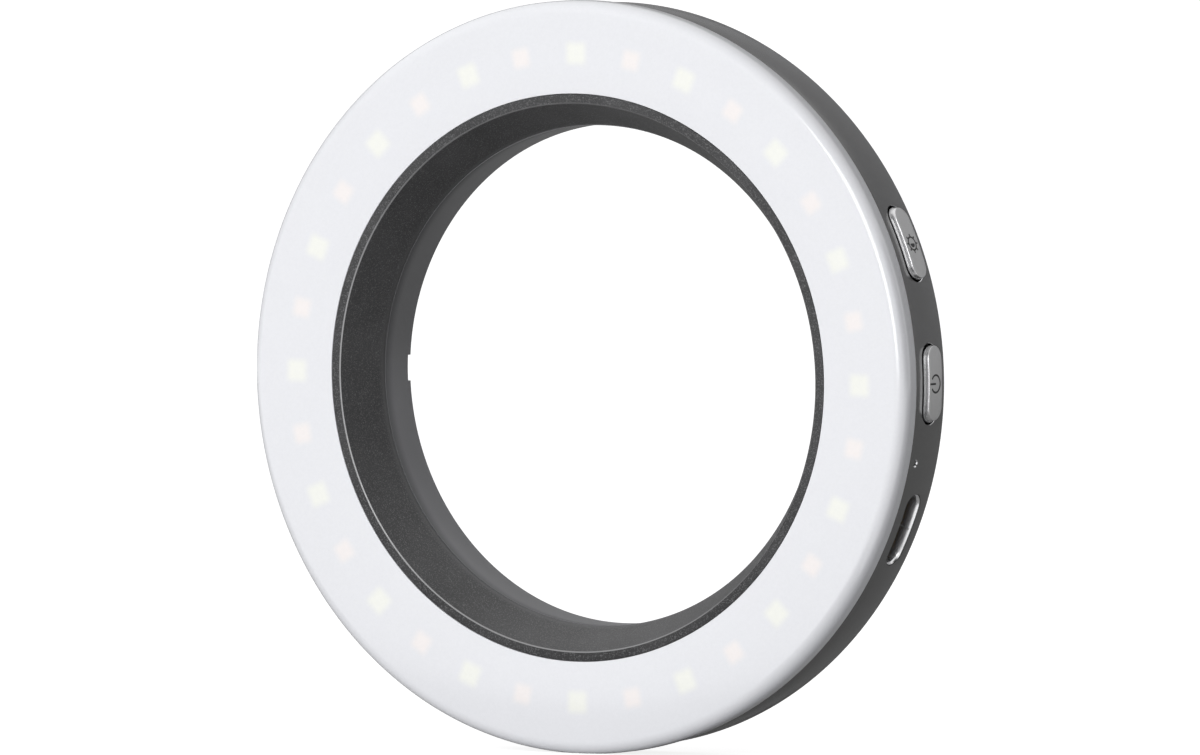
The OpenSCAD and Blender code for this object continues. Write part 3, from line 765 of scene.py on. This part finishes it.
housing = turnedRing("housingRing", [
    (wallInner, bodyRear, 0), (bodyRadius, bodyRear, housingLook["rearChamfer"]),
    (bodyRadius, bodyFront, housingLook["frontRound"]), (wallInner, bodyFront, 0),
    (wallInner, ledgeFront, 0), (ledgeInner, ledgeFront, 0),
    (ledgeInner, ledgeRear, 0), (wallInner, ledgeRear, 0),
], gunmetal, steps=3)


def prism(name, outline, low, high):
    # outline points (across, outward) at clock 0, between two heights
    count = len(outline)
    points = [at(0, a, o, h) for h in (low, high) for a, o in outline]
    faces = [tuple(range(count)), tuple(range(count, 2 * count))]
    faces += [(i, (i + 1) % count, count + (i + 1) % count, count + i) for i in range(count)]
    obj = newObject(name, points, faces)
    closeUp(obj)
    return obj


half, intoWall = housingLook["bossWidth"] / 2, wallInner + housingLook["bossSunk"]
bossOutline = [(-half * math.cos(a), bossRadius - half * math.sin(a))
               for a in np.linspace(0, math.pi, 17)] + [(half, intoWall), (-half, intoWall)]
bosses = prism("bosses", bossOutline, coverFront, housingLook["bossTop"])
roundTheRing(bosses, gunmetal)
intoWall = wallInner + housingLook["landSunk"]
reach = math.acos(housingLook["landRadius"] / intoWall)
landOutline = [(intoWall * math.sin(a), intoWall * math.cos(a))
               for a in np.linspace(-reach, reach, 40)]
land = prism("land", landOutline, coverFront, housingLook["landTop"])
roundTheRing(land, gunmetal, 1)
combine(bosses, land, "UNION")
combine(housing, bosses, "UNION")
wellOutside = 1.1 * bodyRadius


def mouthRings(length, width, floor, slant):
    # rings of a hole in the side wall, from its floor out through a chamfered mouth
    widest = (length + 4 * slant, width + 4 * slant)
    return [(length, width, floor), (length, width, ("round", bodyRadius - slant)),
            (length + 2 * slant, width + 2 * slant, ("round", bodyRadius)),
            (*widest, ("round", bodyRadius + slant)), (*widest, wellOutside)]


gap, pinWidth = housingLook["buttonGap"], housingLook["indicatorWidth"]
pocketRings = mouthRings(buttonLength + 2 * gap, buttonWidth + 2 * gap,
                         housingLook["pocketFloor"], housingLook["pocketChamfer"])
cutters = [lofted("pocket", pressClock, centre, buttonHeight, pocketRings, marks=(1, 2))
           for centre in buttonCentres]
holeSize = portLength + 2 * housingLook["portGap"], portWidth + 2 * housingLook["portGap"]
cutters.append(lofted("portHole", portClock, 0, portHeight, [
    (*holeSize, bossRadius), (*holeSize, wellOutside)]))
pinRings = mouthRings(pinWidth, pinWidth, bossRadius, housingLook["indicatorChamfer"])
cutters.append(
    lofted("indicatorHole", indicatorClock, 0, indicatorHeight, pinRings, marks=(1, 2)))
holes = prism("holes", [(holeRadius * math.sin(a), bossRadius + holeRadius * math.cos(a))
                        for a in np.linspace(0, 2 * math.pi, 25)[:-1]],
              -coverFront, housingLook["threadEnd"])
roundTheRing(holes, gunmetal)
housing.data.attributes.new("bareEdge", "FLOAT", "FACE")
combine(housing, joinAll(cutters + [holes]), "DIFFERENCE")
dress(housing, gunmetal, "gunmetal", "housing")
print("housing made")


# Back cover: flat ring with stepped screw holes
coverLook = {
    "colour": srgb(70, 71, 73),
    "metal": 0.3,
    "rough": 0.45,
    "variation": 0.06,
    "grain": 0.12 * mm,
    "relief": 0.008 * mm,
    "headHole": 2.8 * mm,
    "headDepth": 0.6 * mm,
    "holeChamfer": 0.1 * mm,
    "cornerRound": 0.08 * mm,
}
coverInner, coverOuter, coverRear, _ = measure("back_cover")
coverPaint = grainyFinish("coverPaint", coverLook)
corner = coverLook["cornerRound"]
cover = turnedRing("backCover", [
    (coverInner, coverRear, corner), (coverOuter, coverRear, corner),
    (coverOuter, coverFront, corner), (coverInner, coverFront, corner)], coverPaint)


def steppedPin(name, profile, sides=32):
    # closed pin at clock 0 and the boss radius, from (radius, height) pairs
    turns = [2 * math.pi * k / sides for k in range(sides)]
    points = [at(0, radius * math.sin(a), bossRadius + radius * math.cos(a), height)
              for radius, height in profile for a in turns]
    last = len(points) - sides
    pairs = [(row + k, row + (k + 1) % sides) for row in range(0, last, sides)
             for k in range(sides)]
    faces = [(a, b, b + sides, a + sides) for a, b in pairs]
    faces += [tuple(range(sides)), tuple(range(last, last + sides))]
    obj = newObject(name, points, faces)
    closeUp(obj)
    return obj


headRadius, depth = coverLook["headHole"] / 2, coverLook["headDepth"]
slant = coverLook["holeChamfer"]
pins = steppedPin("coverHoles", [
    (headRadius + 3 * slant, -2 * slant), (headRadius + slant, 0), (headRadius, slant),
    (headRadius, depth), (holeRadius, depth), (holeRadius, coverFront + 5 * slant)])
roundTheRing(pins, coverPaint)
combine(cover, pins, "DIFFERENCE")
dress(cover, coverPaint, "cover_grey", "back_cover")
print("back cover made")


# Cover screws: domed heads with a cross recess, one round the ring after another
screwLook = {
    "colour": srgb(48, 48, 50),
    "metal": 0.85,
    "rough": 0.35,
    "grain": 0.08 * mm,
    "bump": 0.1,
    "headWidth": 2.6 * mm,
    "headHeight": 0.5 * mm,
    "shank": 1.6 * mm,
    "length": 4.0 * mm,
    "pitch": 0.35 * mm,
    "rootShare": 0.86,
    "tipShare": 0.6,
    "tipLength": 0.1 * mm,
    "dome": ((0.3, 0.0), (0.75, 0.03 * mm), (0.93, 0.08 * mm), (1.0, 0.17 * mm)),
    "recess": 1.6 * mm,
    "slot": 0.36 * mm,
    "recessDepth": 0.3 * mm,
}
blackSteel = grainyFinish("blackSteel", screwLook)
headRear = measure("cover_screws")[2]
headFront = headRear + screwLook["headHeight"]
screwEnd, pitch, tip = headFront + screwLook["length"], screwLook["pitch"], screwLook["tipLength"]
headRadius, shankRadius = screwLook["headWidth"] / 2, screwLook["shank"] / 2
rootRadius = shankRadius * screwLook["rootShare"]
profile = [(share * headRadius, headRear + drop) for share, drop in screwLook["dome"]]
profile.append((headRadius, headFront))
for k in range(int((screwLook["length"] - 2 * tip) / pitch)):
    low = headFront + k * pitch
    profile += [(rootRadius, low + hair), (shankRadius, low + pitch / 2)]
profile += [(rootRadius, screwEnd - tip), (shankRadius * screwLook["tipShare"], screwEnd)]
screw = steppedPin("coverScrews", profile)
long, short = screwLook["recess"] / 2, screwLook["slot"] / 2
for across, outward in ((short, long), (long, short)):
    slot = boxAt("slot", 0, -across, across, bossRadius - outward, bossRadius + outward,
                 headRear - 2 * tip, headRear + screwLook["recessDepth"])
    combine(screw, slot, "DIFFERENCE")
roundTheRing(screw, blackSteel)
dress(screw, blackSteel, "black_steel", "cover_screws")
print("cover screws made")


# Buttons: curved satin caps with polished sides, held by their ears
buttonLook = {
    "colour": srgb(219, 219, 219),
    "metal": 0.95,
    "rough": 0.34,
    "variation": 0.05,
    "bareColour": srgb(226, 226, 227),
    "bareRough": 0.24,
    "slantOut": 0.08 * mm,
    "slantIn": 0.08 * mm,
    "slantFrom": 0.02 * mm,
    "grain": 0.09 * mm,
    "bump": 0.12,
    "relief": 0.004 * mm,
    "edgeRound": 0.05 * mm,
    "faceRings": (0.3, 0.55, 0.8, 0.97),
    "earLength": 0.775 * mm,
    "earThickness": 0.5 * mm,
    "stemWidth": 1.3 * mm,
    "stemTip": 38.6 * mm,
}
buttonMetal = grainyFinish("buttonMetal", buttonLook)
addBareMetal(buttonMetal, markedEdges(buttonMetal.node_tree), buttonLook)


def makeButton(name, centre, body, node):
    length, width, edgeRound = buttonLength, buttonWidth, buttonLook["edgeRound"]
    slant, slantFrom = buttonLook["slantOut"], bodyRadius - buttonLook["slantFrom"]
    floor = housingLook["pocketFloor"]
    earFront = floor + buttonLook["earThickness"]
    rings = [(length, width, floor), (length, width, ("round", slantFrom - 4 * slant)),
             (length + 2 * slant, width + 2 * slant, ("round", slantFrom))]
    for a in np.linspace(0, math.pi / 2, 5):
        inset = buttonLook["slantIn"] + edgeRound * (1 - math.cos(a))
        drop = edgeRound * (1 - math.sin(a))
        rings.append((length - 2 * inset, width - 2 * inset, ("round", faceRadius - drop)))
    for share in buttonLook["faceRings"]:
        # smaller and smaller rings, so that the face follows the ring's curve
        inset += (width / 2 - inset) * share
        rings.append((length - 2 * inset, width - 2 * inset, ("round", faceRadius)))
    button = lofted(name, pressClock, centre, buttonHeight, rings, marks=(0, 1, 2, 3))
    reach, tall = length / 2 + buttonLook["earLength"], width / 2 - 5 * hair
    ears = boxAt("ears", pressClock, centre - reach, centre + reach, floor + hair, earFront,
                 buttonHeight - tall, buttonHeight + tall)
    combine(button, ears, "UNION")
    stemWidth = buttonLook["stemWidth"]
    stem = lofted("stem", pressClock, centre, buttonHeight, [
        (stemWidth, stemWidth, out) for out in (buttonLook["stemTip"], earFront - 3 * hair)])
    combine(button, stem, "UNION")
    dress(button, buttonMetal, "button_metal", node, body=body)


makeButton("brightnessButton", buttonCentres[0], "brightness", "brightness_button")
makeButton("powerButton", buttonCentres[1], "power", "power_button")
print("buttons made")


# Marks printed on the buttons: flat strokes that follow the curved faces
markLook = {
    "colour": srgb(50, 50, 51),
    "rough": 0.5,
    "variation": 0.06,
    "grain": 0.05 * mm,
    "bump": 0.1,
    "relief": 0.002 * mm,
    "thickness": 0.012 * mm,
    "sunk": 0.03 * mm,
    "shift": 0.14 * mm,
    "powerWidth": 2.2 * mm,
    "powerStroke": 0.22 * mm,
    "powerGap": 33.0,
    "powerBar": 1.27 * mm,
    "sunRing": 1.56 * mm,
    "sunStroke": 0.19 * mm,
    "sunHalf": 0.48 * mm,
    "rayCount": 8,
    "rayFrom": 0.82 * mm,
    "rayTo": 1.15 * mm,
}
markInk = grainyFinish("markInk", markLook)


def strokeShape(name, path, stroke, closed=False):
    # flat stroke of even width along points (across, up), as a thin closed sheet
    count = len(path)
    sides = []
    for i, here in enumerate(path):
        before = path[i - 1] if i or closed else here
        after = path[(i + 1) % count] if i < count - 1 or closed else here
        along = (Vector(after) - Vector(before)).normalized()
        off = Vector((-along.y, along.x)) * stroke / 2
        sides += [Vector(here) + off, Vector(here) - off]
    total = len(sides)
    points = [(p.x, p.y, level) for level in (0, 1) for p in sides]
    faces = []
    for i in range(count if closed else count - 1):
        a, b, c, d = (k % total for k in (2 * i, 2 * i + 1, 2 * i + 3, 2 * i + 2))
        faces += [(a, b, c, d), (a + total, d + total, c + total, b + total),
                  (a, d, d + total, a + total), (b, b + total, c + total, c)]
    if not closed:
        faces += [(0, total, total + 1, 1),
                  (total - 2, total - 1, 2 * total - 1, 2 * total - 2)]
    return newObject(name, points, faces)


def arcPath(radius, first, last, steps):
    # angles are measured from the up direction
    turns = [math.radians(first + (last - first) * k / steps) for k in range(steps + 1)]
    return [(radius * math.sin(a), radius * math.cos(a)) for a in turns]


def layOnFace(obj, centre):
    # bends a flat mark onto a button's face
    for vertex in obj.data.vertices:
        across, up, level = vertex.co
        across += markLook["shift"]
        reach = faceRadius - markLook["sunk"] + level * (markLook["sunk"] + markLook["thickness"])
        far = math.sqrt(reach ** 2 - (centre + across) ** 2)
        vertex.co = at(pressClock, centre + across, far, buttonHeight + up)


stroke, openHalf = markLook["powerStroke"], markLook["powerGap"]
ringMiddle = (markLook["powerWidth"] - stroke) / 2
powerMark = joinAll([
    strokeShape("powerMark", arcPath(ringMiddle, openHalf, 360 - openHalf, 40), stroke),
    strokeShape("bar", [(0, markLook["powerBar"] * k / 4) for k in range(5)], stroke)])
layOnFace(powerMark, buttonCentres[1])
dress(powerMark, markInk, "chip_black", body="power")
stroke, half = markLook["sunStroke"], markLook["sunHalf"]
rays = strokeShape("rays", [(0, markLook["rayFrom"]), (0, markLook["rayTo"])], stroke)
growFrom(rays, rayTree, {"Count": markLook["rayCount"], "Finish": markInk})
brightnessMark = joinAll([
    strokeShape("brightnessMark", arcPath(markLook["sunRing"] / 2, 0, 360, 32)[:-1], stroke,
                closed=True),
    strokeShape("halfDisc", arcPath(half / 2, 0, 180, 16), half - 2 * hair), rays])
layOnFace(brightnessMark, buttonCentres[0])
dress(brightnessMark, markInk, "chip_black", body="brightness")
print("marks laid on the buttons")


# Charging port: drawn steel shell with a rounded mouth and its seam
portLook = {
    "colour": srgb(234, 234, 235),
    "metal": 0.9,
    "rough": 0.24,
    "variation": 0.04,
    "grain": 0.1 * mm,
    "bump": 0.1,
    "relief": 0.004 * mm,
    "mouthDepth": 0.06 * mm,
    "mouthRound": 0.03 * mm,
    "flare": ((0.03 * mm, 0.0), (0.12 * mm, 0.08 * mm), (0.2 * mm, 0.22 * mm),
              (0.24 * mm, 0.38 * mm)),  # how far in and how deep
    "flareDepth": 1.2 * mm,
    "wallThickness": 0.26 * mm,
    "seamWidth": 0.18 * mm,
    "seamHeight": 0.2 * mm,
    "seamFrom": 0.16 * mm,
    "seamTo": 2.6 * mm,
    "legWidth": 0.7 * mm,
    "legLength": 1.1 * mm,
    "legThickness": 0.3 * mm,
    "legPlaces": (0.3 * mm, 3.9 * mm),
}
portLow, portHigh = spanAt("port_shell", portClock)
boardTop = spanAt("control_board", pressClock)[1][2]
drawnSteel = grainyFinish("drawnSteel", portLook)
length, width, thick = portLength, portWidth, portLook["wallThickness"]
rear, mouth = portLow[1], bodyRadius - portLook["mouthDepth"]
inner = (length - 2 * thick, width - 2 * thick)
# out along the outside, then down the flared mouth and back along the inside
rings = [(length, width, rear), (length, width, ("round", mouth - portLook["mouthRound"]))]
rings += [(length - 2 * inset, width - 2 * inset, ("round", mouth - depth))
          for inset, depth in portLook["flare"]]
rings += [(*inner, ("round", mouth - portLook["flareDepth"])), (*inner, rear)]
shell = lofted("portShell", portClock, 0, portHeight, rings, tube=True)
half, floor = portLook["seamWidth"] / 2, portHeight - inner[1] / 2
seam = prism("seam", [(-half, -hair), (0, portLook["seamHeight"]), (half, -hair)],
             mouth - portLook["seamTo"], mouth - portLook["seamFrom"])
# the seam is drawn lying down, then turned to run inwards from the mouth
for vertex in seam.data.vertices:
    vertex.co = at(portClock, vertex.co.x, -vertex.co.y, floor + vertex.co.z)
closeUp(seam)
combine(shell, seam, "UNION")
reach = portHigh[0]
for side in (-1, 1):
    near, far = sorted((side * (reach - portLook["legWidth"] - thick / 2), side * reach))
    for place in portLook["legPlaces"]:
        legRear = rear + place
        leg = boxAt("leg", portClock, near, far, legRear, legRear + portLook["legLength"],
                    boardTop, boardTop + portLook["legThickness"])
        bore = lofted("bore", portClock, 0, portHeight, [
            (length - thick, width - thick, out) for out in (rear - thick, mouth + thick)])
        combine(leg, bore, "DIFFERENCE")
        combine(shell, leg, "UNION")
dress(shell, drawnSteel, "port_steel", "port_shell")
print("port shell made")


# Indicator: clear rod with a domed end, sunk in its hole
lensLook = {
    "colour": srgb(120, 121, 121),
    "rough": 0.18,
    "variation": 0.03,
    "grain": 0.1 * mm,
    "bump": 0.05,
    "recess": 0.16 * mm,
    "gap": 0.02 * mm,
    "dome": 0.1 * mm,
}
lensFinish = grainyFinish("lensPlastic", lensLook)
lensWidth = housingLook["indicatorWidth"] - 2 * lensLook["gap"]
lensTop = bodyRadius - lensLook["recess"]
lampFace = spanAt("indicator_led", indicatorClock)[1][1]
rings = [(lensWidth, lensWidth, pipeLow[1] + 3 * hair)]
for a in np.linspace(0, math.pi / 2, 7):
    around = max(lensWidth * math.cos(a), 2 * hair)
    rings.append((around, around, lensTop - lensLook["dome"] * (1 - math.sin(a))))
lens = lofted("indicatorLens", indicatorClock, 0, indicatorHeight, rings)
block = boxAt("block", indicatorClock, pipeLow[0], pipeHigh[0], pipeLow[1],
              lampFace + lensLook["gap"], pipeLow[2], pipeHigh[2] + hair)
combine(lens, block, "UNION")
dress(lens, lensFinish, "clear_plastic", "light_pipe")
print("indicator made")


# Every CAD node that still shows gets the finish of its slot
slotLooks = {
    "foam": {"colour": srgb(52, 54, 56), "rough": 0.9, "grain": 0.3 * mm, "bump": 0.6,
             "variation": 0.3},
    "plain_aluminium": {"colour": srgb(190, 192, 195), "metal": 1.0, "rough": 0.3},
    "board_white": {"colour": srgb(228, 230, 228), "rough": 0.4},
    "reflector_white": {"colour": srgb(238, 238, 238), "rough": 0.6},
    "cool_led": {"colour": srgb(238, 234, 180), "rough": 0.35},
    "warm_led": {"colour": srgb(236, 205, 140), "rough": 0.35},
    "cell_foil": {"colour": srgb(172, 176, 182), "metal": 0.9, "rough": 0.35, "bump": 0.5,
                  "bumpSize": 1.5 * mm, "relief": 0.05 * mm},
    "flex_amber": {"colour": srgb(176, 112, 38), "rough": 0.3},
    "connector_ivory": {"colour": srgb(222, 214, 194), "rough": 0.45},
    "board_green": {"colour": srgb(24, 74, 46), "rough": 0.3, "cloud": 1.2 * mm,
                    "variation": 0.25},
    "chip_black": {"colour": srgb(34, 34, 36), "rough": 0.5},
    "ferrite": {"colour": srgb(66, 66, 68), "rough": 0.7},
    "ceramic_tan": {"colour": srgb(168, 142, 108), "rough": 0.5},
    "black_steel": screwLook,
    "switch_metal": {"colour": srgb(186, 186, 188), "metal": 1.0, "rough": 0.3},
    "contact_gold": {"colour": srgb(212, 172, 92), "metal": 1.0, "rough": 0.25},
    "indicator_green": {"colour": srgb(170, 210, 170), "rough": 0.4},
}
slotFinishes = {}
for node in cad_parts.values():
    if node.hide_render:
        continue
    slotName = node.data.materials[0].name.split(".")[0]
    if slotName not in slotFinishes:
        slotFinishes[slotName] = grainyFinish(slotName + "Finish", slotLooks[slotName])
    for place in node.material_slots:
        place.material = slotFinishes[slotName]
print("inner pieces dressed")


# Studio: pale floor, white surround, soft lamps, and grey cards that only reflections see
studio = {
    "floorSize": 6.0,
    "floorColour": srgb(186, 186, 187),
    "floorGlow": 0.86,
    "surround": 0.55,
    "lightFrom": (-0.4, -0.25, -0.1),
    "cardLift": 0.1 * mm,
    "matColour": srgb(180, 180, 180),
    "matOutline": ((-0.7, -0.08), (0.055, -0.08), (0.055, -0.02), (0.5, -0.02), (0.5, 0.6),
                   (-0.7, 0.6)),
    # each upright card: name, colour, where its foot starts and ends, and its top
    "cards": (("greyWall", srgb(176, 176, 177), (-1.2, 0.6), (0.7, 0.6), 0.5),
              ("leftCard", srgb(232, 232, 233), (-1.2, -0.6), (-1.2, 0.6), 0.6),
              ("rightCard", srgb(60, 60, 60), (1.0, -0.5), (1.0, 0.35), 0.6)),
    # each lamp: name, azimuth, elevation, width, height, brightness on a white surface that
    # faces it, and whether reflections show it
    "lamps": (("frontBox", 12, 10, 0.8, 1.5, 0.38, True),
              ("keyBox", -20, 10, 1.0, 1.5, 0.34, False)),
    "lampDistance": 2.0,
}


def seenDirectly(tree):
    # 1 for the rays that show the background: camera, glossy and transmission
    path = addNode(tree, "ShaderNodeLightPath").outputs
    seen = calc(tree, "MAXIMUM", path["Is Camera Ray"], path["Is Glossy Ray"])
    return calc(tree, "MAXIMUM", seen, path["Is Transmission Ray"])


def emptyTree(owner):
    owner.use_nodes = True
    owner.node_tree.nodes.clear()
    return owner.node_tree


def makeWorld():
    bpy.context.scene.world = bpy.data.worlds.new("studio")
    tree = emptyTree(bpy.context.scene.world)
    where = addNode(tree, "ShaderNodeTexCoord").outputs["Generated"]
    slope = addNode(tree, "ShaderNodeVectorMath", {0: where, 1: studio["lightFrom"]},
                    operation="DOT_PRODUCT").outputs["Value"]
    level = calc(tree, "MAXIMUM", calc(tree, "ADD", slope, studio["surround"]), 0.0)
    strength = spread(tree, seenDirectly(tree), 0.0, 1.0, level, 1.0)
    shade = addNode(tree, "ShaderNodeBackground", {"Color": (1, 1, 1, 1), "Strength": strength})
    addNode(tree, "ShaderNodeOutputWorld", {"Surface": shade.outputs[0]})


def makeFloor():
    made = bpy.data.materials.new("floorPaper")
    tree = emptyTree(made)
    paper = addNode(tree, "ShaderNodeBsdfDiffuse", {"Color": studio["floorColour"]}).outputs[0]
    glow = addNode(tree, "ShaderNodeEmission", {
        "Strength": calc(tree, "MULTIPLY", seenDirectly(tree), studio["floorGlow"])}).outputs[0]
    both = addNode(tree, "ShaderNodeAddShader", {0: paper, 1: glow}).outputs[0]
    addNode(tree, "ShaderNodeOutputMaterial", {"Surface": both})
    reach, level = studio["floorSize"] / 2, cadBox[0].z
    floor = newObject("floor", [(x * reach, y * reach, level)
                                for x, y in ((-1, -1), (1, -1), (1, 1), (-1, 1))], [(0, 1, 2, 3)])
    floor.data.materials.append(made)


def makeCard(name, colour, corners):
    # a card that only reflections see, like a flag beside a shiny object
    paper, _, _ = newFinish(name + "Paper", {"Base Color": colour, "Specular IOR Level": 0.0})
    card = newObject(name, corners, [tuple(range(len(corners)))])
    card.data.materials.append(paper)
    card.visible_camera = card.visible_diffuse = card.visible_shadow = False
    card.visible_transmission = False


def softLamp(name, azimuth, elevation, width, height, level, mirrored):
    away, distance = towards(azimuth, elevation), studio["lampDistance"]
    data = bpy.data.lights.new(name, "AREA")
    data.shape, data.size, data.size_y = "RECTANGLE", width, height
    data.energy = level * (math.pi * distance) ** 2
    lamp = addObject(name, data)
    lamp.visible_glossy = mirrored
    turned = away.to_track_quat("Z", "Y").to_matrix().to_4x4()
    lamp.matrix_world = Matrix.Translation(away * distance) @ turned


makeWorld()
makeFloor()
low = cadBox[0].z + studio["cardLift"]
makeCard("darkMat", studio["matColour"], [(*place, low) for place in studio["matOutline"]])
for name, colour, start, end, top in studio["cards"]:
    makeCard(name, colour, [(*start, low), (*end, low), (*end, top), (*start, top)])
for lamp in studio["lamps"]:
    softLamp(*lamp)
bpy.context.scene.view_settings.view_transform = "Standard"
print("studio set")
